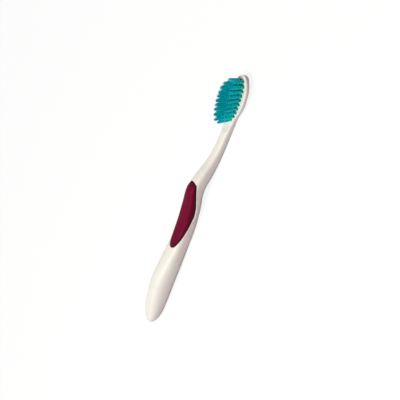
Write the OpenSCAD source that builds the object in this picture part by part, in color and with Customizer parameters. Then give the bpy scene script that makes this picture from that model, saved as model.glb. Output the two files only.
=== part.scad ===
// Manual toothbrush with an inlaid thumb grip and anchored bristle tufts.
// It lies on its back with the bristles up (+Z) and the toe of the head towards +X.
// The origin is under the middle of its length, on the surface that it lies on.

/* [Handle] */
// Length of the handle, from the tail to the start of the neck
handle_len = 115; // [95:1:130]
// Greatest width of the handle
handle_w = 13.9; // [12.5:0.1:16.5]
// Height of the top of the handle above the surface
handle_h = 14.7; // [13.5:0.1:17]
// How high the back arches up behind the thumb grip
back_arch = 4.2; // [2:0.1:5]
// How far the rounded back is cut flat where it rests
seat_cut = 0.3; // [0.2:0.05:0.5]
// Length over which the tail rounds off
tail_round = 14; // [10:0.5:20]

/* [Neck] */
// Length of the neck
neck_len = 35.5; // [28:0.5:45]
// Width of the neck at its middle
neck_w = 6.4; // [5.5:0.1:8]
// Height of the top of the neck above the surface, at its middle
neck_h = 5.8; // [5.4:0.1:7.5]

/* [Head] */
// Length of the head
head_len = 32; // [28:0.5:36]
// Width of the head
head_w = 14.7; // [13.4:0.1:17]
// Thickness of the head
head_t = 4.25; // [4.2:0.05:6]
// Angle by which the head rises towards its toe
head_tilt = 4; // [0:0.1:6]
// Length over which the toe of the head rounds off
toe_round = 11; // [8:0.5:14]
// Radius of the hollow that leads from the neck down to the face of the head
heel_ramp_r = 14; // [8:1:20]

/* [Bristles] */
// Rows of tufts along the head
tuft_rows = 10; // [8:1:11]
// Length of the bristles above the face of the head, before they are trimmed towards its ends
bristle_len = 11.9; // [9:0.1:13]
// How much shorter the bristles are in the row at the toe
toe_trim = 2.6; // [0:0.1:3.5]
// How much shorter the bristles are in the row at the heel
heel_trim = 1.5; // [0:0.1:3]
// Angle by which the bristles lean back in the row at the toe
toe_lean_angle = 3.5; // [0:0.5:6]
// Angle by which the bristles lean back in the row at the heel
heel_lean_angle = 11; // [6:0.5:15]
// Diameter of a tuft where it is packed into its hole
tuft_d = 1.6; // [1.3:0.05:1.7]
// Depth of the tuft holes
hole_depth = 3; // [2.6:0.1:3.4]
// Distance from the toe of the head to the first row
toe_margin = 3.65; // [3.2:0.05:5]
// Distance from the heel of the head to the last row
heel_margin = 3.1; // [2.8:0.05:5]
// Distance from the widest side of the head to the outer tufts
side_margin = 3.1; // [2.7:0.05:3.5]

/* [Tuft anchors] */
// Width of the metal plate that holds each tuft
anchor_w = 2; // [1.9:0.05:2.1]
// Height of the anchor plate
anchor_h = 1.5; // [1:0.1:1.7]
// Thickness of the anchor plate
anchor_t = 0.3; // [0.2:0.02:0.4]
// Thickness of the bristle fold under the anchor
anchor_lift = 0.5; // [0.4:0.05:0.7]

/* [Thumb grip] */
// Length of the thumb grip
grip_len = 48.8; // [35:0.2:55]
// Distance from the front tip of the grip to the neck
grip_set_back = 6.7; // [5.5:0.1:15]
// Angle by which the grip wraps down each side at its widest
grip_wrap_angle = 91; // [60:1:100]
// Depth of the grip in the handle
grip_depth = 1.5; // [1:0.1:2]
// Height of the crown of the grip above the handle
grip_crown = 0.4; // [0.1:0.05:0.8]
// Diameter of the studs that lock the grip to the handle
stud_d = 3; // [2:0.1:4]
// Length of the locking studs
stud_len = 2.2; // [1:0.1:3]

/* [Hidden] */
$fn = 16;

// Fits and cuts
tuft_gap = 0.05;
anchor_gap = 0.03;
grip_gap = 0.08;
overrun = 1;

// Overall places along the brush
total_len = handle_len + neck_len + head_len;
neck_x = handle_len;
head_x = handle_len + neck_len;

// Outline of the handle, neck and head, at stations along each
handle_station_shares = [0, 0.06, 0.16, 0.28, 0.41, 0.54, 0.67, 0.79, 0.9, 1];
handle_width_shares = [0.785, 0.845, 0.945, 1, 0.95, 0.845, 0.835, 0.78, 0.655, 0.55];
handle_top_shares = [0.622, 0.694, 0.874, 1, 0.907, 0.762, 0.745, 0.85, 0.97, 0.758];
handle_back_shares = [0.11, 0.02, 0, 0.04, 0.04, 0.035, 0.13, 0.515, 1, 0.445];
neck_station_shares = [0.22, 0.5, 0.8];
neck_width_shares = [1.045, 1, 1.04];
neck_top_shares = [1.39, 1, 0.915];
neck_back_shares = [0.135, 0.01, 0];
head_station_shares = [0.12, 0.4, 0.7, 1];
head_width_shares = [0.61, 0.966, 0.97, 0.782];
head_back_shares = [0.115, 0.035, 0.07, 0.255];

// Stock above the face of the head, which the face is cut from
face_stock_share = 0.22;
// Rounding of a section: 2 is an ellipse, more is squarer
handle_roundness = 3.1;
head_roundness = 3.85;
head_back_roundness = 2.2;
squaring_share = 0.19;
// Belly behind the grip: a domed top over a rounder back, with its widest line below the middle
belly_end_share = 0.56;
belly_blend_share = 0.24;
belly_drop_share = 0.12;
belly_top_roundness = 2.45;
belly_back_roundness = 2.4;
// Lift of the widest line towards the tip of the tail, and its reach as a share of the tail's rounding
tail_lift_share = 0.15;
tail_sweep_share = 1.7;
// Roundness of the tail and of the toe, seen from above
tail_roundness = 2.3;
toe_roundness = 2.2;
toe_edge_share = 0.35;
toe_edge_left_share = 0.4;
// Bluntness of the tips, which closes the shape with a small flat
tail_blunt_share = 0.003;
toe_blunt_share = 0.01;

// Fineness of the handle
ring_points = 32;
tail_steps = 9;
body_steps = 32;
toe_steps = 9;
ramp_steps = 8;
ramp_turn = 40;

// Tuft field
tuft_hole_d = tuft_d + 2 * tuft_gap;
row_pitch = (head_len - toe_margin - heel_margin) / (tuft_rows - 1);
field_half = row_pitch * (tuft_rows - 1) / 2;
field_half_w = head_w / 2 - side_margin;
field_roundness = 2.4;
field_reach_share = 1.047;
anchor_angle = 30;

// Strands of a tuft: three in the middle and nine round them
strand_rings = [3, 9];
strand_ring_shares = [0.286, 0.75];
strand_w = 0.16 * tuft_d;
strand_tip_w = 0.08 * tuft_d;
strand_sink = 0.1 * tuft_d;
strand_sides = 4;
tip_round = 0.9 * tuft_d;
toe_tip_share = 0.4;
tip_slant = 0.35 * tuft_d;
spread_share = 1.42;

// Thumb grip outline and studs
grip_steps = 20;
grip_across = 10;
grip_peak_share = 0.55;
grip_tail_roundness = 1.5;
grip_front_roundness = 2.7;
grip_tip_share = 0.03;
crown_roundness = 2.5;
stud_shares = [0.34, 0.58, 0.8];
stud_root = grip_depth / 2;

COLUMN_NAMES = ["a", "b", "c", "d"];

// Curve through knots

function knot_slope(xs, ys, i) =
    let (last = len(xs) - 1, a = max(i - 1, 0), b = min(i + 1, last))
    (ys[b] - ys[a]) / (xs[b] - xs[a]);

function knot_before(xs, x, i = 0) =
    i >= len(xs) - 2 || x < xs[i + 1] ? i : knot_before(xs, x, i + 1);

function smooth(xs, ys, x) =
    let (
        i = knot_before(xs, x),
        h = xs[i + 1] - xs[i],
        t = (x - xs[i]) / h
    )
    (2 * t * t * t - 3 * t * t + 1) * ys[i] + (t * t * t - 2 * t * t + t) * h * knot_slope(xs, ys, i)
    + (3 * t * t - 2 * t * t * t) * ys[i + 1] + (t * t * t - t * t) * h * knot_slope(xs, ys, i + 1);

function clamp01(v) = max(0, min(1, v));
function rounded(v, n) = pow(max(0, 1 - pow(v, n)), 1 / n);
function signed_pow(v, p) = sign(v) * pow(abs(v), p);

// Knots of the whole brush, measured from the tail

function rise(x) = tan(head_tilt) * (x - head_x);

knot_xs = concat(
    [for (s = handle_station_shares) s * handle_len],
    [for (s = neck_station_shares) neck_x + s * neck_len],
    [for (s = head_station_shares) head_x + s * head_len]
);
half_width_ys = concat(
    [for (s = handle_width_shares) s * handle_w / 2],
    [for (s = neck_width_shares) s * neck_w / 2],
    [for (s = head_width_shares) s * head_w / 2]
);
top_zs = concat(
    [for (s = handle_top_shares) s * handle_h],
    [for (s = neck_top_shares) s * neck_h],
    [for (s = head_station_shares) head_t * (1 + face_stock_share) + rise(head_x + s * head_len)]
);
back_zs = concat(
    [for (s = handle_back_shares) s * back_arch - seat_cut],
    [for (s = neck_back_shares) s * back_arch - seat_cut],
    [
        for (i = [0 : len(head_station_shares) - 1])
            head_back_shares[i] * head_t - seat_cut + rise(head_x + head_station_shares[i] * head_len)
    ]
);

// Section of the brush at a distance x from the tail

function tail_cap(x) = rounded(clamp01((tail_round - x) / tail_round), tail_roundness);
function toe_cap(x) = rounded(clamp01((x - total_len + toe_round) / toe_round), toe_roundness);
function toe_edge_len() = toe_edge_share * head_t;
function toe_edge_cap(x) =
    let (s = clamp01((x - total_len + toe_edge_len()) / toe_edge_len()))
    toe_edge_left_share + (1 - toe_edge_left_share) * rounded(s, 2);
function half_width(x) = smooth(knot_xs, half_width_ys, x) * tail_cap(x) * toe_cap(x);
function belly(x) =
    let (t = clamp01((belly_end_share * handle_len - x) / (belly_blend_share * handle_len)))
    t * t * (3 - 2 * t);
function tail_lift(x) =
    let (t = clamp01(x / (tail_sweep_share * tail_round)))
    tail_lift_share * (1 - t * t * (3 - 2 * t));
// Share of the height that lies below the widest line of the section
function low_share(x) = 1 / 2 - belly_drop_share * belly(x) + tail_lift(x);
function mid_z(x) =
    smooth(knot_xs, top_zs, x) * low_share(x) + smooth(knot_xs, back_zs, x) * (1 - low_share(x));
function half_depth(x, turn = 0) =
    (smooth(knot_xs, top_zs, x) - smooth(knot_xs, back_zs, x))
    * (cos(turn) < 0 ? low_share(x) : 1 - low_share(x)) * tail_cap(x) * toe_edge_cap(x);
function roundness(x, turn) =
    let (
        in_belly = cos(turn) < 0 ? belly_back_roundness : belly_top_roundness,
        in_head = cos(turn) < 0 ? head_back_roundness : head_roundness,
        plain = handle_roundness + (in_belly - handle_roundness) * belly(x)
    )
    plain + (in_head - plain) * clamp01((x - head_x) / (squaring_share * head_len));

// Point on the skin at x, turned by an angle from the top, and sunk below the skin
function skin(x, turn, sunk = 0) =
    let (p = 2 / roundness(x, turn))
    [
        x,
        (half_width(x) - sunk) * signed_pow(sin(turn), p),
        mid_z(x) + (half_depth(x, turn) - sunk) * signed_pow(cos(turn), p)
    ];

function ring(x) = [for (i = [0 : ring_points - 1]) skin(x, 360 * i / ring_points)];

// Stations are close together where the tail and the toe round off
function station_xs() = concat(
    [
        for (i = [0 : tail_steps])
            tail_round * (1 - cos(90 * (tail_blunt_share + (1 - tail_blunt_share) * i / tail_steps)))
    ],
    [
        for (i = [1 : body_steps - 1])
            tail_round + (total_len - toe_round - tail_round) * i / body_steps
    ],
    [
        for (i = [0 : toe_steps])
            total_len - toe_round * (1 - sin(90 * (1 - toe_blunt_share) * i / toe_steps))
    ]
);

// Solid through rings that all have as many points
module loft(rings) {
    n = len(rings[0]);
    last = len(rings) - 1;
    polyhedron(
        points = [for (r = rings) for (p = r) p],
        faces = concat(
            [
                for (i = [0 : last - 1])
                    for (j = [0 : n - 1])
                        for (half = [0, 1])
                            let (a = i * n + j, b = i * n + (j + 1) % n)
                            half == 0 ? [a, b + n, a + n] : [a, b, b + n]
            ],
            [for (j = [1 : n - 2]) [0, j + 1, j]],
            [for (j = [1 : n - 2]) [last * n, last * n + j, last * n + j + 1]]
        )
    );
}

// Moves what is drawn from the tail to where the part has its origin
module from_tail() {
    translate([-total_len / 2, 0, 0]) children();
}

// Frame on the face of the head: x runs from the heel to the toe, z out of the face
module on_face() {
    from_tail()
        translate([head_x, 0, head_t])
            rotate([0, -head_tilt, 0])
                children();
}

// Places of the tufts

function tuft_columns(row) = row == 1 || row == tuft_rows ? 2 : 4;
function tuft_row_x(row) = head_len - toe_margin - (row - 1) * row_pitch;
function tuft_outer_y(row) =
    let (s = abs(row - (tuft_rows + 1) / 2) * row_pitch / (field_half * field_reach_share))
    field_half_w * rounded(s, field_roundness);
function tuft_y(row, column) =
    let (columns = tuft_columns(row))
    tuft_outer_y(row) * (2 * column / (columns - 1) - 1);
function heel_share(row) = (row - 1) / (tuft_rows - 1);
function tuft_length(row) =
    bristle_len - toe_trim * pow(1 - heel_share(row), 8) - heel_trim * pow(heel_share(row), 2);
function tuft_tip_round(row) = tip_round * (toe_tip_share + (1 - toe_tip_share) * heel_share(row));
function tuft_lean(row) = toe_lean_angle + (heel_lean_angle - toe_lean_angle) * heel_share(row);
function tuft_name(row, column) =
    str("tuft_row", row < 10 ? "0" : "", row, "_", COLUMN_NAMES[column]);

module at_tuft(row, column) {
    on_face() translate([tuft_row_x(row), tuft_y(row, column), 0]) children();
}

// Handle, neck and head in one moulding

module handle_skin() {
    loft([for (x = station_xs()) ring(x)]);
}

// What is cut away over the face of the head, with a hollow up to the neck
module face_cut() {
    top = head_t + overrun;
    ramp = [
        for (i = [0 : ramp_steps])
            let (turn = ramp_turn * i / ramp_steps)
            [-heel_ramp_r * sin(turn), heel_ramp_r * (1 - cos(turn))]
    ];
    rotate([90, 0, 0])
        linear_extrude(height = head_w + 2 * overrun, center = true)
            polygon(concat(
                [[head_len + toe_margin, 0]],
                ramp,
                [[ramp[ramp_steps][0], top], [head_len + toe_margin, top]]
            ));
}

module anchor_block(gap) {
    translate([0, 0, anchor_lift - hole_depth + anchor_h / 2])
        rotate([0, 0, anchor_angle])
            cube([anchor_w + 2 * gap, anchor_t + 2 * gap, anchor_h + 2 * gap], center = true);
}

module tuft_hole() {
    translate([0, 0, -hole_depth]) cylinder(d = tuft_hole_d, h = hole_depth + overrun);
    anchor_block(anchor_gap);
}

module handle() {
    color("ivory")
        difference() {
            from_tail() handle_skin();
            on_face() face_cut();
            translate([0, 0, -handle_h / 2])
                cube([total_len + 2 * overrun, handle_w + 2 * overrun, handle_h], center = true);
            for (row = [1 : tuft_rows])
                for (column = [0 : tuft_columns(row) - 1])
                    at_tuft(row, column) tuft_hole();
            from_tail() grip_recess();
        }
}

// Thumb grip: a lens let into the top of the handle

grip_x = handle_len - grip_set_back - grip_len;

function grip_half_turn(share) =
    let (
        reach = share < grip_peak_share
            ? rounded(1 - share / grip_peak_share, grip_tail_roundness)
            : rounded((share - grip_peak_share) / (1 - grip_peak_share), grip_front_roundness)
    )
    grip_wrap_angle * (grip_tip_share + (1 - grip_tip_share) * reach);

function grip_ring(share, floor_sunk, edge_sunk, crown, inset) =
    let (
        x = grip_x + inset + share * (grip_len - 2 * inset),
        half = grip_half_turn(share) - inset / half_depth(x) * 180 / PI
    )
    concat(
        [
            for (j = [0 : grip_across])
                skin(x, half * (2 * j / grip_across - 1), floor_sunk)
        ],
        [
            for (j = [0 : grip_across])
                let (s = 1 - 2 * j / grip_across)
                skin(x, half * s, edge_sunk - crown * (1 - pow(abs(s), crown_roundness)))
        ]
    );

// Solid with a floor and a crown, both a strip of points across the grip
module strip_loft(rings) {
    n = len(rings[0]);
    m = n / 2;
    last = len(rings) - 1;
    polyhedron(
        points = [for (r = rings) for (p = r) p],
        faces = concat(
            [
                for (i = [0 : last - 1])
                    for (j = [0 : n - 1])
                        for (half = [0, 1])
                            let (a = i * n + j, b = i * n + (j + 1) % n)
                            half == 0 ? [a, b + n, b] : [a, a + n, b + n]
            ],
            [
                for (end = [0, last])
                    for (j = [0 : m - 2])
                        for (half = [0, 1])
                            let (
                                a = end * n + j,
                                b = a + 1,
                                c = end * n + n - 2 - j,
                                d = c + 1,
                                tri = half == 0 ? [a, d, c] : [a, c, b]
                            )
                            end == last ? tri : [tri[0], tri[2], tri[1]]
            ]
        )
    );
}

function grip_shares() = [for (i = [0 : grip_steps]) (1 - cos(180 * i / grip_steps)) / 2];

module at_studs() {
    for (s = stud_shares) {
        x = grip_x + s * grip_len;
        translate(skin(x, 0, grip_depth)) children();
    }
}

module grip_recess() {
    strip_loft([for (s = grip_shares()) grip_ring(s, grip_depth, -overrun, 0, 0)]);
    at_studs()
        translate([0, 0, -stud_len - grip_gap])
            cylinder(d = stud_d + 2 * grip_gap, h = stud_len + grip_gap + overrun);
}

module thumb_grip() {
    color("#7a0c32")
        from_tail() {
            strip_loft([
                for (s = grip_shares())
                    grip_ring(s, grip_depth - grip_gap, 0, grip_crown, grip_gap)
            ]);
            at_studs()
                translate([0, 0, -stud_len])
                    cylinder(d = stud_d, h = stud_len + stud_root);
        }
}

// Metal plates that pin the folded tufts in their holes
module tuft_anchors() {
    color("darkkhaki")
        for (row = [1 : tuft_rows])
            for (column = [0 : tuft_columns(row) - 1])
                at_tuft(row, column) anchor_block(0);
}

// Corners of one strand across its length, with sides that face its neighbours
function strand_corners(centre, turn, width, z) = [
    for (i = [0 : strand_sides - 1])
        let (a = turn + 360 * (i + 0.5) / strand_sides)
        [centre[0] + width * cos(a), centre[1] + width * sin(a), z]
];

// Strands that fan out from the packed root and lean back, with a pointed and slanted end
module strands(length, lean, rounding) {
    places = [
        for (k = [0 : len(strand_rings) - 1])
            for (i = [0 : strand_rings[k] - 1])
                let (
                    turn = 360 * (i + 0.5 * k) / strand_rings[k],
                    r = strand_ring_shares[k] * tuft_d / 2
                )
                [r * cos(turn), r * sin(turn), turn]
    ];
    corners = [
        for (p = places)
            let (
                reach = norm([p[0], p[1]]) / (tuft_d / 2),
                run = length - rounding * reach * reach - tip_slant * p[0] / (tuft_d / 2),
                tip = [p[0] * spread_share - run * sin(lean), p[1] * spread_share]
            )
            for (c = concat(
                strand_corners(p, p[2], strand_w / sqrt(2), -strand_sink),
                strand_corners(tip, p[2], strand_tip_w / sqrt(2), run * cos(lean))
            )) c
    ];
    n = strand_sides;
    polyhedron(
        points = corners,
        faces = [
            for (k = [0 : len(places) - 1])
                let (base = 2 * n * k)
                for (f = concat(
                    [for (j = [0 : n - 1]) [base + j, base + n + j, base + n + (j + 1) % n]],
                    [for (j = [0 : n - 1]) [base + j, base + n + (j + 1) % n, base + (j + 1) % n]],
                    [for (j = [1 : n - 2]) [base, base + j, base + j + 1]],
                    [for (j = [1 : n - 2]) [base + n, base + n + j + 1, base + n + j]]
                )) f
        ]
    );
}

// One tuft: bristles folded round their anchor, packed in the hole and fanned above it
module tuft(row, column) {
    color("darkcyan")
        at_tuft(row, column) {
            difference() {
                translate([0, 0, tuft_gap - hole_depth])
                    cylinder(d = tuft_d, h = hole_depth - tuft_gap);
                translate([0, 0, anchor_lift - hole_depth + anchor_h / 2])
                    rotate([0, 0, anchor_angle])
                        cube(
                            [anchor_w + overrun, anchor_t + 2 * anchor_gap, anchor_h + 2 * anchor_gap],
                            center = true
                        );
            }
            strands(tuft_length(row), tuft_lean(row), tuft_tip_round(row));
        }
}

handle();
thumb_grip();
tuft_anchors();
for (row = [1 : tuft_rows])
    for (column = [0 : tuft_columns(row) - 1])
        tuft(row, column);
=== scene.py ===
# Looks of the manual toothbrush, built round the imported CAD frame.
# Shapes are worked out in millimetres from the tail, as the CAD source does. Shape.piece turns them
# into metres in the frame of the part.
import math

import bmesh
import bpy
import numpy as np
from mathutils import Matrix, Vector
from mathutils.geometry import delaunay_2d_cdt


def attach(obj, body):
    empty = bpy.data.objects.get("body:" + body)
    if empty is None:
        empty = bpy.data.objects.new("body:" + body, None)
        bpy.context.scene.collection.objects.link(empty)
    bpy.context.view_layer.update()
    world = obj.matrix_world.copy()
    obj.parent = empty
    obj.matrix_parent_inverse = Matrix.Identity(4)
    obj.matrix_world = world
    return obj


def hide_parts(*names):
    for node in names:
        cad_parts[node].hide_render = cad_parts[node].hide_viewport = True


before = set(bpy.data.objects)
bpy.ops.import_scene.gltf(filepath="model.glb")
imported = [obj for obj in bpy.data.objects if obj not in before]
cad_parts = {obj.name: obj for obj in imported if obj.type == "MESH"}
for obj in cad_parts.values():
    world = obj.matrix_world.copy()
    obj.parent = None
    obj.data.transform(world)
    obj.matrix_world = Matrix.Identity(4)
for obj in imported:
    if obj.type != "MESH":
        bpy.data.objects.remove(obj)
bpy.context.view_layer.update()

MM = 0.001

# Sizes of the CAD source, in millimetres and degrees
HANDLE_LEN, HANDLE_W, HANDLE_H, BACK_ARCH, SEAT_CUT, TAIL_ROUND = 115, 13.9, 14.7, 4.2, 0.3, 14
NECK_LEN, NECK_W, NECK_H = 35.5, 6.4, 5.8
HEAD_LEN, HEAD_W, HEAD_T, HEAD_TILT, TOE_ROUND = 32, 14.7, 4.25, 4, 11
RAMP_R, RAMP_LEN, RAMP_STEEP = 14, 9, 5
TUFT_ROWS, BRISTLE_LEN, TOE_TRIM, HEEL_TRIM, TOE_LEAN, HEEL_LEAN = 10, 11.9, 2.6, 1.5, 3.5, 11
TUFT_D, TUFT_GAP, HOLE_DEPTH, TIP_ROUND, TOE_TIP, TIP_SLANT = 1.6, 0.05, 3, 0.9, 0.4, 0.35
TOE_MARGIN, HEEL_MARGIN, SIDE_MARGIN = 3.65, 3.1, 3.1
END_COLUMNS, COLUMNS = 2, 4
FIELD_REACH, FIELD_ROUNDNESS = 1.047, 2.4
GRIP_LEN, GRIP_SET_BACK, GRIP_WRAP, GRIP_DEPTH, GRIP_CROWN = 48.8, 6.7, 91, 1.5, 0.4
GRIP_PEAK, GRIP_TAIL_ROUNDNESS, GRIP_FRONT_ROUNDNESS = 0.55, 1.5, 2.7
GRIP_TIP_WRAP, GRIP_TIP_LEN = 0.03, 1.2
ANCHOR_T, ANCHOR_LIFT, ANCHOR_H, ANCHOR_ANGLE = 0.3, 0.5, 1.5, 30
TOTAL = HANDLE_LEN + NECK_LEN + HEAD_LEN
HEAD_X = HANDLE_LEN + NECK_LEN
GRIP_X = HANDLE_LEN - GRIP_SET_BACK - GRIP_LEN

# Outline of the brush at stations along the handle, the neck and the head
HANDLE_AT = np.array([0, 0.06, 0.16, 0.28, 0.41, 0.54, 0.67, 0.79, 0.9, 1])
HANDLE_WIDTH = np.array([0.785, 0.845, 0.945, 1, 0.95, 0.845, 0.835, 0.78, 0.655, 0.55])
HANDLE_TOP = np.array([0.622, 0.694, 0.874, 1, 0.907, 0.762, 0.745, 0.85, 0.97, 0.758])
HANDLE_BACK = np.array([0.11, 0.02, 0, 0.04, 0.04, 0.035, 0.13, 0.515, 1, 0.445])
NECK_AT = np.array([0.22, 0.5, 0.8])
NECK_WIDTH = np.array([1.045, 1, 1.04])
NECK_TOP = np.array([1.39, 1, 0.915])
NECK_BACK = np.array([0.135, 0.01, 0])
HEAD_AT = np.array([0.12, 0.4, 0.7, 1])
HEAD_WIDTH = np.array([0.61, 0.966, 0.97, 0.782])
HEAD_BACK = np.array([0.115, 0.035, 0.07, 0.255])
HEAD_STOCK = 1.22

# Ends and sections: roundness is the power of a superellipse, and the rest are shares
TAIL_ROUNDNESS, TOE_ROUNDNESS = 2.3, 2.2
TOE_EDGE, TOE_EDGE_LEFT = 0.35, 0.4
BODY_ROUNDNESS, HEAD_ROUNDNESS, HEAD_BACK_ROUNDNESS, SQUARING = 3.1, 3.85, 2.2, 0.19
BELLY_END, BELLY_BLEND, BELLY_DROP, BELLY_TOP, BELLY_BACK = 0.56, 0.24, 0.12, 2.45, 2.4
TAIL_LIFT, TAIL_SWEEP = 0.15, 1.7


def rise(x):
    return math.tan(math.radians(HEAD_TILT)) * (x - HEAD_X)


HEAD_XS = HEAD_X + HEAD_AT * HEAD_LEN
KNOT_X = np.concatenate([HANDLE_AT * HANDLE_LEN, HANDLE_LEN + NECK_AT * NECK_LEN, HEAD_XS])
KNOT_WIDTH = np.concatenate([HANDLE_WIDTH * HANDLE_W, NECK_WIDTH * NECK_W, HEAD_WIDTH * HEAD_W]) / 2
KNOT_TOP = np.concatenate([
    HANDLE_TOP * HANDLE_H,
    NECK_TOP * NECK_H,
    HEAD_STOCK * HEAD_T + rise(HEAD_XS),
])
KNOT_BACK = np.concatenate([
    HANDLE_BACK * BACK_ARCH - SEAT_CUT,
    NECK_BACK * BACK_ARCH - SEAT_CUT,
    HEAD_BACK * HEAD_T - SEAT_CUT + rise(HEAD_XS),
])


def smooth(ys, x):
    """Cubic curve through the knots, with the slopes that the CAD source uses."""
    last = len(KNOT_X) - 1
    before = np.maximum(np.arange(last + 1) - 1, 0)
    after = np.minimum(np.arange(last + 1) + 1, last)
    slope = (ys[after] - ys[before]) / (KNOT_X[after] - KNOT_X[before])
    i = np.clip(np.searchsorted(KNOT_X, x, side="right") - 1, 0, last - 1)
    h = KNOT_X[i + 1] - KNOT_X[i]
    t = (x - KNOT_X[i]) / h
    return (
        (2 * t**3 - 3 * t**2 + 1) * ys[i]
        + (t**3 - 2 * t**2 + t) * h * slope[i]
        + (3 * t**2 - 2 * t**3) * ys[i + 1]
        + (t**3 - t**2) * h * slope[i + 1]
    )


def rounded(v, n):
    return np.maximum(0, 1 - np.clip(v, 0, 1) ** n) ** (1 / n)


def signed_pow(v, p):
    return np.sign(v) * np.abs(v) ** p


def smooth_min(a, b, k):
    """The lower of a and b, with the corner between them rounded over k."""
    h = np.clip(0.5 + 0.5 * (b - a) / k, 0, 1)
    return b * (1 - h) + a * h - k * h * (1 - h)


def ease(t):
    """Smooth step from 0 to 1."""
    t = np.clip(t, 0, 1)
    return t * t * (3 - 2 * t)


def tail_cap(x):
    return rounded((TAIL_ROUND - x) / TAIL_ROUND, TAIL_ROUNDNESS)


def half_width(x):
    toe = rounded((x - TOTAL + TOE_ROUND) / TOE_ROUND, TOE_ROUNDNESS)
    return smooth(KNOT_WIDTH, x) * tail_cap(x) * toe


def belly(x):
    """How far the section is that of the belly of the handle, from 0 to 1."""
    return ease((BELLY_END * HANDLE_LEN - x) / (BELLY_BLEND * HANDLE_LEN))


def low_share(x):
    """Share of the height below the widest line, which drops in the belly and rises at the tail."""
    return 0.5 - BELLY_DROP * belly(x) + TAIL_LIFT * (1 - ease(x / (TAIL_SWEEP * TAIL_ROUND)))


def mid_z(x):
    return smooth(KNOT_TOP, x) * low_share(x) + smooth(KNOT_BACK, x) * (1 - low_share(x))


def half_depth(x, turn=0.0):
    edge = TOE_EDGE * HEAD_T
    toe = TOE_EDGE_LEFT + (1 - TOE_EDGE_LEFT) * rounded((x - TOTAL + edge) / edge, 2)
    part = np.where(np.cos(np.radians(turn)) < 0, low_share(x), 1 - low_share(x))
    return (smooth(KNOT_TOP, x) - smooth(KNOT_BACK, x)) * part * tail_cap(x) * toe


def roundness(x, turn):
    below = np.cos(np.radians(turn)) < 0
    in_head = np.where(below, HEAD_BACK_ROUNDNESS, HEAD_ROUNDNESS)
    in_belly = np.where(below, BELLY_BACK, BELLY_TOP)
    plain = BODY_ROUNDNESS + (in_belly - BODY_ROUNDNESS) * belly(x)
    return plain + (in_head - plain) * np.clip((x - HEAD_X) / (SQUARING * HEAD_LEN), 0, 1)


def skin(x, turn, sunk=0.0):
    """Point on the uncut skin at x, turned by degrees from the top, and sunk below the skin."""
    x, turn, sunk = np.broadcast_arrays(np.asarray(x, float), turn, sunk)
    p = 2 / roundness(x, turn)
    a = np.radians(turn)
    return np.stack(
        [
            x,
            (half_width(x) - sunk) * signed_pow(np.sin(a), p),
            mid_z(x) + (half_depth(x, turn) - sunk) * signed_pow(np.cos(a), p),
        ],
        -1,
    )


def face_z(x):
    """Height of the face of the head, and of the hollow that leads down to it from the neck."""
    d = np.maximum(HEAD_X - x, 0)
    near = np.minimum(d, RAMP_LEN)
    ramp = RAMP_R - np.sqrt(RAMP_R**2 - near**2)
    return HEAD_T + rise(x) + ramp + RAMP_STEEP * np.maximum(d - RAMP_LEN, 0)


# How far the edges of the face and of the flat underneath are rounded
RIM = 0.24
SEAT_EDGE = 0.15


def trimmed(p):
    """Cuts the face of the head and the flat that the brush rests on, with rounded edges."""
    p = p.copy()
    p[..., 2] = smooth_min(p[..., 2], face_z(p[..., 0]), RIM)
    p[..., 2] = np.maximum(-smooth_min(-p[..., 2], 0 * p[..., 2], SEAT_EDGE), 0)
    return p


# Frame on the face of the head, as in the CAD source
TILT = math.radians(HEAD_TILT)
FACE_X = np.array([math.cos(TILT), 0, math.sin(TILT)])
FACE_Z = np.array([-math.sin(TILT), 0, math.cos(TILT)])


def on_face(p):
    p = np.asarray(p, float)
    side = np.array([0.0, 1.0, 0.0])
    start = np.array([HEAD_X, 0, HEAD_T])
    return start + p[..., :1] * FACE_X + p[..., 1:2] * side + p[..., 2:3] * FACE_Z


PITCH = (HEAD_LEN - TOE_MARGIN - HEEL_MARGIN) / (TUFT_ROWS - 1)


def tuft_places():
    """Row, column letter and place on the face of every tuft."""
    places = []
    for row in range(1, TUFT_ROWS + 1):
        columns = END_COLUMNS if row in (1, TUFT_ROWS) else COLUMNS
        s = abs(row - (TUFT_ROWS + 1) / 2) * PITCH / (PITCH * (TUFT_ROWS - 1) / 2 * FIELD_REACH)
        outer = (HEAD_W / 2 - SIDE_MARGIN) * float(rounded(s, FIELD_ROUNDNESS))
        for c in range(columns):
            y = outer * (2 * c / (columns - 1) - 1)
            places.append((row, "abcd"[c], HEAD_LEN - TOE_MARGIN - (row - 1) * PITCH, y))
    return places


class Shape:
    """Points and faces of one mesh, with a number stored at each point for each named attribute."""

    def __init__(self, *attributes):
        self.points, self.faces, self.count = [], [], 0
        self.values = {a: [] for a in attributes}

    def add(self, points, **values):
        points = np.asarray(points, float).reshape(-1, 3)
        self.points.append(points)
        for name, kept in self.values.items():
            kept.append(np.broadcast_to(values.get(name, 0.0), (len(points),)).astype(float))
        self.count += len(points)
        return np.arange(self.count - len(points), self.count)

    def band(self, a, b):
        """Quads between two closed loops of as many points."""
        n = len(a)
        for k in range(n):
            m = (k + 1) % n
            self.faces.append((a[k], b[k], b[m], a[m]))

    def piece(self, name, slot, material, *nodes, sharp):
        mesh = bpy.data.meshes.new(name)
        points = (np.concatenate(self.points) - [TOTAL / 2, 0, 0]) * MM
        mesh.from_pydata(points.tolist(), [], [tuple(int(i) for i in f) for f in self.faces])
        for attribute, kept in self.values.items():
            layer = mesh.attributes.new(attribute, "FLOAT", "POINT")
            layer.data.foreach_set("value", np.concatenate(kept))
        bm = bmesh.new()
        bm.from_mesh(mesh)
        bmesh.ops.recalc_face_normals(bm, faces=bm.faces)
        bm.to_mesh(mesh)
        bm.free()
        mesh.shade_smooth()
        mesh.set_sharp_from_angle(angle=math.radians(sharp))
        mesh.materials.append(material)
        obj = bpy.data.objects.new(name, mesh)
        bpy.context.scene.collection.objects.link(obj)
        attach(obj, "root")
        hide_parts(*nodes)
        return obj


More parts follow.
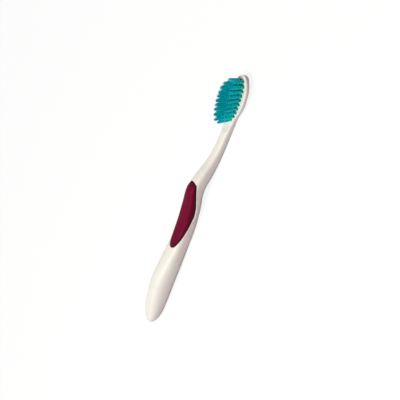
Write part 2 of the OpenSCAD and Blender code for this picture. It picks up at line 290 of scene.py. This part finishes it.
# Outline of the thumb grip, the fading of its crown towards the tips, and the painted shade of the
# crease round it, which reaches further in near the tips
GRIP_STEPS = 96
CROWN_FADE, CROWN_ROUNDNESS = 5, 2.5
TIP_DISTANCE = 0.7
SHARES = (1 - np.cos(np.pi * np.arange(GRIP_STEPS + 1) / GRIP_STEPS)) / 2


def grip_outline(inset):
    """Stations along the grip and its half turn in degrees there, drawn in by inset millimetres."""
    x = GRIP_X + inset + SHARES * (GRIP_LEN - 2 * inset)
    reach = np.where(
        SHARES < GRIP_PEAK,
        rounded(1 - SHARES / GRIP_PEAK, GRIP_TAIL_ROUNDNESS),
        rounded((SHARES - GRIP_PEAK) / (1 - GRIP_PEAK), GRIP_FRONT_ROUNDNESS),
    )
    tip = np.minimum(SHARES, 1 - SHARES) * GRIP_LEN
    cap = np.sqrt(1 - (1 - np.clip(tip / GRIP_TIP_LEN, 0, 1)) ** 2)
    half = GRIP_WRAP * (GRIP_TIP_WRAP + (1 - GRIP_TIP_WRAP) * reach) * cap
    if inset:
        turn = np.degrees(abs(inset) / half_depth(x))
        half = half - math.copysign(1, inset) * turn * (1 - np.exp(-half / turn))
    half[[0, -1]] = 0
    return x, half


def grip_loop(inset, sunk):
    """Closed loop round the grip: tail tip, side towards +Y, front tip, side towards -Y."""
    x, half = grip_outline(inset)
    xs = np.concatenate([x, x[-2:0:-1]])
    turns = np.concatenate([half, -half[-2:0:-1]])
    return skin(xs, turns, sunk)


def grip_sheet(shape, loop, inset, sunk, crown, across, border=0.0):
    """Fills a loop round the grip with rows across it. Its edge attribute, the painted shade of the
    crease round the grip, reaches in by border.
    """
    x, half = grip_outline(inset)
    s = 1 - 2 * np.arange(1, across) / across
    n = GRIP_STEPS
    rows = []
    for i in range(1, n):
        fade = 1 - (1 - min(1, min(SHARES[i], 1 - SHARES[i]) * GRIP_LEN / CROWN_FADE)) ** 2
        side = (1 - np.abs(s)) * math.radians(half[i]) * half_depth(x[i])
        away = np.minimum(side, TIP_DISTANCE * min(x[i] - x[0], x[-1] - x[i]))
        # edge holds the painted shade of the crease round the grip: 1 at the outline, fading
        # inwards over border
        inner = shape.add(
            skin(x[i], half[i] * s, sunk - crown * fade * (1 - np.abs(s) ** CROWN_ROUNDNESS)),
            edge=np.exp(-away / border) if border else 1.0,
        )
        rows.append([loop[i], *inner, loop[2 * n - i]])
    for a, b in zip(rows, rows[1:]):
        for j in range(across):
            shape.faces.append((a[j], a[j + 1], b[j + 1], b[j]))
    for j in range(across):
        shape.faces.append((loop[0], rows[0][j + 1], rows[0][j]))
        shape.faces.append((loop[n], rows[-1][j], rows[-1][j + 1]))


# Moulding seam along the sides, in degrees from the top, and its height
SEAM_TURN = 97
SEAM_RIDGE = 0.03

# Steps round the handle above and below the seam, and stations along it
UPPER, LOWER = 34, 34
TAIL_STATIONS, TOE_STATIONS = 34, 40
TAIL_BLUNT, TOE_BLUNT = 0.4, 0.6
BODY_STEP, HEAD_STEP, HEAD_LEAD = 0.8, 0.4, 10
HANDLE_SHARP = 42

# Rounded edge of the recess of the grip: how far in from its outline, and how deep. The edge starts
# EDGE_OUT outside the outline.
EDGE_OUT = 0.16
RECESS_RINGS = ((-0.09, 0.012), (-0.03, 0.06), (0, 0.15), (0, 1.0), (0, GRIP_DEPTH))
FLOOR_COLUMNS = 16

# Where the skin of the head lies above its face: by this share of the rim, past this distance
FACE_RISE, FACE_START = 0.6, 0.2


def handle_stations():
    """Stations along the brush, and the half turn that the recess of the grip leaves open there."""
    tail = TAIL_ROUND * (1 - np.cos(np.radians(np.linspace(TAIL_BLUNT, 90, TAIL_STATIONS))))
    gx, gh = grip_outline(-EDGE_OUT)
    toe_start = TOTAL - TOE_ROUND
    toe = toe_start + TOE_ROUND * np.sin(np.radians(np.linspace(0, 90 - TOE_BLUNT, TOE_STATIONS)))
    lead = HEAD_X - HEAD_LEAD

    def between(a, b, step):
        n = max(2, round((b - a) / step))
        return a + (b - a) * np.arange(1, n) / n

    parts = [
        (tail, None),
        (between(tail[-1], gx[0], BODY_STEP), None),
        (gx, gh),
        (between(gx[-1], lead, BODY_STEP), None),
        (np.array([lead]), None),
        (between(lead, toe_start, HEAD_STEP), None),
        (toe, None),
    ]
    xs = np.concatenate([p[0] for p in parts])
    opening = np.concatenate([np.zeros(len(p[0])) if p[1] is None else p[1] for p in parts])
    return xs, opening, len(parts[0][0]) + len(parts[1][0])


def make_handle(material):
    shape = Shape()
    xs, opening, grip_start = handle_stations()
    turns = []
    for o in opening:
        right = np.concatenate([
            np.linspace(o, SEAM_TURN - 1, UPPER + 1),
            [SEAM_TURN],
            np.linspace(SEAM_TURN + 1, 180, LOWER + 1),
        ])
        turns.append(np.concatenate([right, 360 - right[-2::-1]]))
    turns = np.array(turns)
    rows, columns = turns.shape
    seam = np.zeros((rows, columns))
    seam[:, [UPPER + 1, columns - 2 - UPPER]] = 1
    raw = skin(xs[:, None], turns, -SEAM_RIDGE * seam)
    above = raw[..., 2] - face_z(raw[..., 0]) > FACE_RISE * RIM
    flat = above & (xs[:, None] > HEAD_X + FACE_START)
    index = shape.add(trimmed(raw)).reshape(rows, columns)
    open_row = opening > 0
    for i in range(rows):
        if not open_row[i]:
            index[i, -1] = index[i, 0]
            flat[i, -1] = flat[i, 0]
    removed = []
    for i in range(rows - 1):
        for j in range(columns - 1):
            quad = (index[i, j], index[i + 1, j], index[i + 1, j + 1], index[i, j + 1])
            corners = flat[i, j] and flat[i + 1, j] and flat[i + 1, j + 1] and flat[i, j + 1]
            (removed if corners else shape.faces).append(quad)
    for i, flip in ((0, True), (rows - 1, False)):
        ring = index[i, :-1]
        centre = shape.add(trimmed(skin(xs[i], turns[i, :-1])).mean(0))[0]
        for a, b in zip(ring, np.roll(ring, -1)):
            shape.faces.append((centre, b, a) if flip else (centre, a, b))
    face_patch(shape, removed)

    n = GRIP_STEPS
    span = index[grip_start:grip_start + n + 1]
    loop = np.concatenate([span[:, 0], span[-2:0:-1, -1]])
    for inset, sunk in RECESS_RINGS:
        ring = shape.add(grip_loop(inset, sunk))
        shape.band(loop, ring)
        loop = ring
    grip_sheet(shape, loop, 0, GRIP_DEPTH, 0, FLOOR_COLUMNS)
    return shape.piece("brush_body", "handle_plastic", material, "handle", sharp=HANDLE_SHARP)


# Tuft holes: rings of their mouths and sides, as extra radius and height over the face
HOLE_SIDES = 24
HOLE_RINGS = ((0.06, 0), (0.02, -0.02), (0, -0.07), (0, -HOLE_DEPTH))
WELD = 1e-7


def face_patch(shape, removed):
    """Flat face of the head in the place of the removed quads, with the tuft holes."""
    edges = {}
    for quad in removed:
        for a, b in zip(quad, quad[1:] + quad[:1]):
            if a != b:
                edges[(a, b)] = True
    border = {a: b for a, b in edges if (b, a) not in edges}
    start = next(iter(border))
    loop = [start]
    while border[loop[-1]] != start:
        loop.append(border[loop[-1]])
    if len(loop) != len(border):
        raise SystemExit(f"the face has {len(border)} border edges, {len(loop)} in one loop")
    points = np.concatenate(shape.points)
    flat = [((points[i][0] - HEAD_X) / math.cos(TILT), points[i][1]) for i in loop]
    ids = list(loop)
    lines = [(k, (k + 1) % len(loop)) for k in range(len(loop))]
    hole_r = TUFT_D / 2 + TUFT_GAP
    around = 2 * np.pi * np.arange(HOLE_SIDES) / HOLE_SIDES
    circle = np.stack([np.cos(around), np.sin(around)], -1)
    mouths = []
    for _, _, cx, cy in tuft_places():
        rings = []
        for r, z in HOLE_RINGS:
            xy = circle * (hole_r + r) + [cx, cy]
            rings.append(shape.add(on_face(np.column_stack([xy, np.full(HOLE_SIDES, z)]))))
            if not z:
                base = len(flat)
                flat += [tuple(v) for v in xy]
                ids += list(rings[0])
                lines += [(base + k, base + (k + 1) % HOLE_SIDES) for k in range(HOLE_SIDES)]
        for a, b in zip(rings, rings[1:]):
            shape.band(a, b)
        shape.faces.append(tuple(rings[-1]))
        mouths.append((cx, cy, hole_r + HOLE_RINGS[0][0]))
    corners = [Vector(v) for v in flat]
    made, _, triangles, origin, _, _ = delaunay_2d_cdt(corners, lines, [], 1, WELD)
    crossed = [tuple(round(c, 2) for c in made[k]) for k in range(len(made)) if not origin[k]]
    if crossed:
        raise SystemExit(f"tuft holes cross the rim of the face at {crossed}")
    for t in triangles:
        own = [origin[k][0] for k in t]
        mx, my = np.mean([flat[k] for k in own], axis=0)
        if all(math.hypot(mx - cx, my - cy) > r for cx, cy, r in mouths):
            shape.faces.append(tuple(ids[k] for k in own))


# Thumb pad: its gaps to the recess, its rounded edge, and how far in the painted shade of the
# crease round its border reaches
PAD_SIDE_GAP, PAD_FLOOR_GAP = 0.1, 0.08
PAD_EDGE_DEPTH, PAD_EDGE_WIDTH, PAD_EDGE_STEPS = 0.5, 1.0, 7
PAD_COLUMNS, PAD_PAINTED_SHADE_REACH, PAD_SHARP = 40, 0.6, 60


def make_grip(material):
    shape = Shape("edge")
    rings = [(PAD_SIDE_GAP, GRIP_DEPTH - PAD_FLOOR_GAP), (PAD_SIDE_GAP, PAD_EDGE_DEPTH)]
    for step in range(1, PAD_EDGE_STEPS + 1):
        a = math.radians(90 * step / PAD_EDGE_STEPS)
        inset = PAD_SIDE_GAP + PAD_EDGE_WIDTH * (1 - math.cos(a))
        rings.append((inset, PAD_EDGE_DEPTH * (1 - math.sin(a))))
    # The walls of the gap and the rounded edge carry the full painted shade of the crease
    loops = [shape.add(grip_loop(inset, sunk), edge=1) for inset, sunk in rings]
    for a, b in zip(loops, loops[1:]):
        shape.band(a, b)
    grip_sheet(shape, loops[-1], *rings[-1], GRIP_CROWN, PAD_COLUMNS, border=PAD_PAINTED_SHADE_REACH)
    grip_sheet(shape, loops[0], *rings[0], 0, FLOOR_COLUMNS)
    return shape.piece("thumb_pad", "grip_rubber", material, "thumb_grip", sharp=PAD_SHARP)


# Bristles of a tuft, in millimetres and degrees. Spreads are the widest or the usual random error.
FILAMENTS, FILAMENT_D, FILAMENT_SIDES, TUFT_SHARP = 54, 0.17, 6, 70
GOLDEN = math.pi * (3 - math.sqrt(5))
TOE_TRIM_POWER = 8
LENGTH_SPREAD, LEAN_SPREAD, SWAY_SPREAD = 0.12, 1, 1.2
TIP_SPREAD, SIDE_SPREAD, BEND_SPREAD = 0.16, 0.05, 0.07
PACK_CLEAR = 0.02
FAN, FAN_LOSS, BULGE = 2, 0.4, 1.8
FOLD_CLEAR, FOLD_SHARE, ABOVE_LIFT, BELOW_FACE = 0.12, 0.3, 0.1, 0.3
# The first share is random tone of each bristle; the second is painted light that brightens the
# rows at the toe and the heel
OWN_TONE, END_ROWS_PAINTED_LIGHT = 0.4, 0.6

# Share of the bristle's run above the face, and its thickness there
BRISTLE_RINGS = ((0.12, 1), (0.35, 1), (0.6, 1), (0.8, 0.95), (0.93, 0.7), (1, 0.22))


def make_tuft(row, letter, x, y, material):
    """One tuft: bristles folded under their anchor, packed in the hole and fanned out above it."""
    rng = np.random.default_rng(100 * row + ord(letter))
    share = (row - 1) / (TUFT_ROWS - 1)
    length = BRISTLE_LEN - TOE_TRIM * (1 - share) ** TOE_TRIM_POWER - HEEL_TRIM * share**2
    length += rng.uniform(-LENGTH_SPREAD, LENGTH_SPREAD)
    rounding = TIP_ROUND * (TOE_TIP + (1 - TOE_TIP) * share) * TUFT_D
    lean = TOE_LEAN + (HEEL_LEAN - TOE_LEAN) * share + rng.uniform(-LEAN_SPREAD, LEAN_SPREAD)
    lean = math.radians(lean)
    sway = math.radians(rng.uniform(-SWAY_SPREAD, SWAY_SPREAD))
    k = np.arange(FILAMENTS)
    radius = (TUFT_D / 2 - FILAMENT_D / 2 - PACK_CLEAR) * np.sqrt((k + 0.5) / FILAMENTS)
    turn = GOLDEN * k + rng.uniform(0, 2 * np.pi)
    root = np.stack([radius * np.cos(turn), radius * np.sin(turn)], -1)
    reach = np.hypot(root[:, 0], root[:, 1]) / (TUFT_D / 2)
    run = length - rounding * reach**2 - TIP_SLANT * TUFT_D * root[:, 0] / (TUFT_D / 2)
    run = np.minimum(run + rng.normal(0, TIP_SPREAD, FILAMENTS), length)
    tip = root * (FAN - FAN_LOSS * share) + rng.normal(0, SIDE_SPREAD, (FILAMENTS, 2))
    tip[:, 0] -= run * math.sin(lean)
    tip[:, 1] += run * math.sin(sway)
    top = run * math.cos(lean)
    bend = rng.normal(0, BEND_SPREAD, (FILAMENTS, 2))

    # Below the face the bristles part round the anchor plate
    a = math.radians(ANCHOR_ANGLE)
    along, across = np.array([math.cos(a), math.sin(a)]), np.array([-math.sin(a), math.cos(a)])
    u, q = root @ along, root @ across
    clear = ANCHOR_T / 2 + FILAMENT_D / 2
    parted = np.where(q < 0, -1, 1) * (clear + np.abs(q) * (1 - clear / (TUFT_D / 2)))
    folded = u[:, None] * along + parted[:, None] * across
    bottom = u[:, None] * along + FOLD_SHARE * parted[:, None] * across
    levels = [
        (bottom, np.full(FILAMENTS, FOLD_CLEAR - HOLE_DEPTH), 1, 0),
        (folded, np.full(FILAMENTS, ANCHOR_LIFT - HOLE_DEPTH + ABOVE_LIFT), 1, 0),
        (folded, np.full(FILAMENTS, ANCHOR_LIFT - HOLE_DEPTH + ANCHOR_H), 1, 0),
        (root, np.full(FILAMENTS, -BELOW_FACE), 1, 0),
    ]
    for t, width in BRISTLE_RINGS:
        bulge = root * BULGE * t * (1 - t) ** 2
        mid = root + (tip - root) * t + bulge + bend * math.sin(math.pi * t)
        levels.append((mid, top * t, width, t))

    shape = Shape("strand", "along")
    # Random tone of each bristle, plus painted light on the rows at the toe and the heel
    tone = OWN_TONE * rng.uniform(0, 1, FILAMENTS) + END_ROWS_PAINTED_LIGHT * abs(2 * share - 1)
    spin = rng.uniform(0, np.pi, FILAMENTS)
    corner = spin[:, None] + 2 * np.pi * np.arange(FILAMENT_SIDES) / FILAMENT_SIDES
    ring = FILAMENT_D / 2 * np.stack([np.cos(corner), np.sin(corner), 0 * corner], -1)
    grid = []
    for centre, z, width, t in levels:
        place = np.column_stack([centre + [x, y], z])[:, None, :] + ring * width
        ids = shape.add(on_face(place), strand=np.repeat(tone, FILAMENT_SIDES), along=t)
        grid.append(ids.reshape(FILAMENTS, FILAMENT_SIDES))
    for i in range(FILAMENTS):
        for a, b in zip(grid, grid[1:]):
            shape.band(a[i], b[i])
        shape.faces.append(tuple(grid[0][i]))
        shape.faces.append(tuple(grid[-1][i]))
    name = f"tuft_row{row:02d}_{letter}"
    return shape.piece(name + "_bristles", "bristle_nylon", material, name, sharp=TUFT_SHARP)


# Noise below and above these levels is rare, so they are stretched to the ends of a range
NOISE_LOW, NOISE_HIGH = 0.25, 0.75


class Paint:
    """Small helper round a material's node tree. Noise scales count per metre."""

    def __init__(self, name):
        self.material = bpy.data.materials.new(name)
        self.material.use_nodes = True
        self.tree = self.material.node_tree
        self.shader = self.tree.nodes["Principled BSDF"]
        self.coord = self.node("ShaderNodeTexCoord")

    def node(self, kind, **settings):
        made = self.tree.nodes.new(kind)
        for key, value in settings.items():
            if key in made.inputs:
                made.inputs[key].default_value = value
            else:
                setattr(made, key, value)
        return made

    def link(self, a, b):
        self.tree.links.new(a, b)

    def set(self, **values):
        for key, value in values.items():
            self.shader.inputs[key.replace("_", " ")].default_value = value

    def noise(self, scale, detail, roughness=0.5):
        made = self.node("ShaderNodeTexNoise", Scale=scale, Detail=detail, Roughness=roughness)
        self.link(self.coord.outputs["Object"], made.inputs["Vector"])
        return made.outputs["Fac"]

    def stored(self, name):
        return self.node("ShaderNodeAttribute", attribute_name=name).outputs["Fac"]

    def ramp(self, value, *stops):
        made = self.node("ShaderNodeValToRGB")
        band = made.color_ramp.elements
        while len(band) < len(stops):
            band.new(0.5)
        for element, (at, colour) in zip(band, stops):
            element.position = at
            element.color = (*colour, 1)
        self.link(value, made.inputs["Fac"])
        return made.outputs["Color"]

    def spread(self, value, low, high):
        made = self.node("ShaderNodeMapRange")
        made.inputs["From Min"].default_value = NOISE_LOW
        made.inputs["From Max"].default_value = NOISE_HIGH
        made.inputs["To Min"].default_value = low
        made.inputs["To Max"].default_value = high
        self.link(value, made.inputs["Value"])
        return made.outputs["Result"]

    def math(self, operation, a, b):
        made = self.node("ShaderNodeMath", operation=operation)
        for value, socket in zip((a, b), made.inputs):
            if isinstance(value, (int, float)):
                socket.default_value = value
            else:
                self.link(value, socket)
        return made.outputs["Value"]

    def mixed(self, factor, a, b):
        made = self.node("ShaderNodeMix", data_type="RGBA")
        self.link(factor, made.inputs[0])
        for value, socket in zip((a, b), (made.inputs[6], made.inputs[7])):
            if isinstance(value, tuple):
                socket.default_value = (*value, 1)
            else:
                self.link(value, socket)
        return made.outputs[2]

    def bump(self, height, distance, after=None):
        made = self.node("ShaderNodeBump", Strength=1.0, Distance=distance)
        self.link(height, made.inputs["Height"])
        if after is not None:
            self.link(after, made.inputs["Normal"])
        return made.outputs["Normal"]

    def finish(self, colour=None, roughness=None, normal=None):
        for value, socket in ((colour, "Base Color"), (roughness, "Roughness"), (normal, "Normal")):
            if value is not None:
                self.link(value, self.shader.inputs[socket])
        return self.material


def handle_plastic():
    """Satin off-white plastic with a fine grain over the slight waves of a moulding."""
    p = Paint("handle_plastic")
    tone = p.ramp(
        p.noise(scale=55, detail=3),
        (0.3, (0.9, 0.865, 0.796)),
        (0.7, (0.925, 0.892, 0.828)),
    )
    rough = p.spread(p.noise(scale=700, detail=4), low=0.42, high=0.52)
    grain = p.bump(p.noise(scale=4200, detail=3), distance=0.000012)
    wave = p.bump(p.noise(scale=160, detail=1), distance=0.00004, after=grain)
    p.set(Subsurface_Weight=0.12, Subsurface_Radius=(1.0, 0.75, 0.6), Subsurface_Scale=0.0012)
    p.set(IOR=1.49, Specular_IOR_Level=0.42)
    return p.finish(tone, rough, wave)


def grip_rubber():
    """Matt maroon rubber, with painted shade darkening it in the narrow gap round its edge and a
    little way in from it.
    """
    p = Paint("grip_rubber")
    tone = p.ramp(
        p.noise(scale=420, detail=4, roughness=0.6),
        (0.32, (0.148, 0.0004, 0.022)),
        (0.68, (0.176, 0.0008, 0.029)),
    )
    # Painted shade of the crease round the pad, darkening the colour by the edge attribute
    dark = p.mixed(p.stored("edge"), tone, (0.07, 0, 0.012))
    rough = p.spread(p.noise(scale=900, detail=3), low=0.46, high=0.6)
    grain = p.bump(p.noise(scale=5200, detail=2), distance=0.00003)
    p.set(IOR=1.47, Specular_IOR_Level=0.08)
    return p.finish(dark, rough, grain)


def bristle_nylon():
    """Teal nylon, with painted shade making it dark in the hole and painted bounce light from the
    plastic making it greener and brighter at the root; darker and bluer at the tip.
    """
    p = Paint("bristle_nylon")
    # Painted shade deep in the hole, then painted bounce light from the plastic near the root, then
    # darker, bluer tips
    along_colour_with_painted_light = p.ramp(
        p.stored("along"),
        (0, (0, 0.34, 0.33)),
        (0.1, (0, 0.6, 0.57)),
        (0.2, (0, 0.95, 0.9)),
        (0.4, (0, 0.9, 0.96)),
        (0.85, (0, 0.76, 0.92)),
        (1, (0, 0.45, 0.5)),
    )
    # Random tone of each bristle with painted light: brighter end rows, and green and blue past 1
    # standing in for light that passes through the nylon
    own = p.ramp(p.stored("strand"), (0, (0.8, 0.88, 0.91)), (1, (1, 1.28, 1.2)))
    tone = p.node("ShaderNodeMix", data_type="RGBA", blend_type="MULTIPLY")
    tone.inputs[0].default_value = 1
    p.link(along_colour_with_painted_light, tone.inputs[6])
    p.link(own, tone.inputs[7])
    rough = p.spread(p.noise(scale=2500, detail=2), low=0.26, high=0.38)
    p.set(IOR=1.53, Specular_IOR_Level=0.2)
    p.set(Subsurface_Weight=0.25, Subsurface_Radius=(0.1, 1.0, 1.0), Subsurface_Scale=0.0015)
    p.set(Sheen_Weight=0.6, Sheen_Roughness=0.5, Sheen_Tint=(0, 1, 1, 1))
    return p.finish(tone.outputs[2], rough)


def anchor_metal():
    """Brass of the anchor plates, hidden in the tuft holes."""
    p = Paint("anchor_metal")
    tone = p.ramp(
        p.noise(scale=1800, detail=3),
        (0.3, (0.72, 0.5, 0.2)),
        (0.7, (0.83, 0.62, 0.29)),
    )
    rough = p.spread(p.noise(scale=3000, detail=3), low=0.25, high=0.4)
    p.set(Metallic=1.0)
    return p.finish(tone, rough)


# Light of the world and of the floor on the object, and what the camera sees of the floor
WORLD_COLOUR, WORLD_LEVEL = (1, 0.85, 0.93), 0.28
FLOOR_BOUNCE, FLOOR_SEEN = (0.33, 0.265, 0.305), (0.98, 0.98, 0.98)
FLOOR_WHITE, FLOOR_GLOW = 0.86, 1.02

# Half the floor's side and how far it lies under the object, in metres
FLOOR_HALF, FLOOR_DROP = 3, 0.00004

# The one lamp, in metres and watts
KEY_PLACE, KEY_SIZE, KEY_POWER, KEY_COLOUR = (-0.2, -0.34, 0.98), 0.28, 8.55, (0.97, 1, 0.93)


def make_stage():
    """Plain pale floor and world, which the camera and reflections see as white."""
    scene = bpy.context.scene
    world = bpy.data.worlds.new("studio")
    scene.world = world
    world.use_nodes = True
    tree = world.node_tree
    tree.nodes.clear()
    path = tree.nodes.new("ShaderNodeLightPath")
    seen, glossy = tree.nodes.new("ShaderNodeMath"), tree.nodes.new("ShaderNodeMath")
    seen.operation = glossy.operation = "MAXIMUM"
    tree.links.new(path.outputs["Is Glossy Ray"], glossy.inputs[0])
    tree.links.new(path.outputs["Is Transmission Ray"], glossy.inputs[1])
    tree.links.new(path.outputs["Is Camera Ray"], seen.inputs[0])
    tree.links.new(glossy.outputs[0], seen.inputs[1])
    plain, white = tree.nodes.new("ShaderNodeBackground"), tree.nodes.new("ShaderNodeBackground")
    plain.inputs["Color"].default_value = (*WORLD_COLOUR, 1)
    plain.inputs["Strength"].default_value = WORLD_LEVEL
    white.inputs["Strength"].default_value = 1
    white.inputs["Color"].default_value = (1, 1, 1, 1)
    mix, out = tree.nodes.new("ShaderNodeMixShader"), tree.nodes.new("ShaderNodeOutputWorld")
    tree.links.new(seen.outputs[0], mix.inputs[0])
    tree.links.new(plain.outputs[0], mix.inputs[1])
    tree.links.new(white.outputs[0], mix.inputs[2])
    tree.links.new(mix.outputs[0], out.inputs[0])

    p = Paint("floor_paper")
    path = p.node("ShaderNodeLightPath")
    glossy = p.math("MAXIMUM", path.outputs["Is Glossy Ray"], path.outputs["Is Transmission Ray"])
    seen = p.math("MAXIMUM", path.outputs["Is Camera Ray"], glossy)
    shade = p.mixed(seen, FLOOR_BOUNCE, FLOOR_SEEN)
    diffuse = p.node("ShaderNodeBsdfDiffuse")
    p.link(shade, diffuse.inputs["Color"])
    glow = p.node("ShaderNodeEmission", Color=(1, 1, 1, 1), Strength=FLOOR_GLOW)
    mix = p.node("ShaderNodeMixShader")
    p.link(p.math("MULTIPLY", seen, FLOOR_WHITE), mix.inputs[0])
    p.link(diffuse.outputs[0], mix.inputs[1])
    p.link(glow.outputs[0], mix.inputs[2])
    p.tree.nodes.remove(p.shader)
    p.link(mix.outputs[0], p.tree.nodes["Material Output"].inputs["Surface"])
    mesh = bpy.data.meshes.new("floor")
    corners = [(x * FLOOR_HALF, y * FLOOR_HALF, 0) for x, y in ((-1, -1), (1, -1), (1, 1), (-1, 1))]
    mesh.from_pydata(corners, [], [(0, 1, 2, 3)])
    mesh.materials.append(p.material)
    floor = bpy.data.objects.new("floor", mesh)
    floor.location.z = -FLOOR_DROP
    scene.collection.objects.link(floor)


def make_light():
    """One soft lamp that points at the origin."""
    data = bpy.data.lights.new("key", "AREA")
    data.shape, data.size, data.energy, data.color = "SQUARE", KEY_SIZE, KEY_POWER, KEY_COLOUR
    lamp = bpy.data.objects.new("key", data)
    lamp.location = KEY_PLACE
    lamp.rotation_mode = "QUATERNION"
    lamp.rotation_quaternion = Vector(KEY_PLACE).to_track_quat("Z", "Y")
    bpy.context.scene.collection.objects.link(lamp)


# Camera fitted to the outline of the photograph, in degrees and millimetres
CAMERA_AZIMUTH, CAMERA_ELEVATION, CAMERA_ROLL = 29.276, 38.994, -87.905
CAMERA_DISTANCE, CAMERA_RIGHT, CAMERA_UP = 595.38, 4.2013, 3.3473
CAMERA_TARGET = Vector((0, 0, 6))
PIXELS_PER_MM, IMAGE_PIXELS = 1.5612, 400
SENSOR = 36
CLIP_NEAR, CLIP_FAR = 0.01, 20


def make_camera():
    az, el, roll = (math.radians(v) for v in (CAMERA_AZIMUTH, CAMERA_ELEVATION, CAMERA_ROLL))
    back = Vector((math.cos(el) * math.sin(az), -math.cos(el) * math.cos(az), math.sin(el)))
    up = (Vector((0, 0, 1)) - back * back.z).normalized()
    right = up.cross(back)
    right, up = (
        right * math.cos(roll) + up * math.sin(roll),
        up * math.cos(roll) - right * math.sin(roll),
    )
    place = CAMERA_TARGET + right * CAMERA_RIGHT + up * CAMERA_UP + back * CAMERA_DISTANCE
    data = bpy.data.cameras.new("camera")
    data.sensor_width = SENSOR
    data.lens = SENSOR * PIXELS_PER_MM * CAMERA_DISTANCE / IMAGE_PIXELS
    data.clip_start, data.clip_end = CLIP_NEAR, CLIP_FAR
    camera = bpy.data.objects.new("camera", data)
    turn = Matrix((right, up, back)).transposed().to_4x4()
    camera.matrix_world = Matrix.Translation(place * MM) @ turn
    bpy.context.scene.collection.objects.link(camera)
    bpy.context.scene.camera = camera


make_camera()
make_stage()
make_light()
bpy.context.scene.view_settings.view_transform = "Standard"

make_handle(handle_plastic())
make_grip(grip_rubber())
nylon = bristle_nylon()
for row, letter, x, y in tuft_places():
    make_tuft(row, letter, x, y, nylon)
brass = anchor_metal()
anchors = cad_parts["tuft_anchors"]
anchors.data.materials.clear()
anchors.data.materials.append(brass)
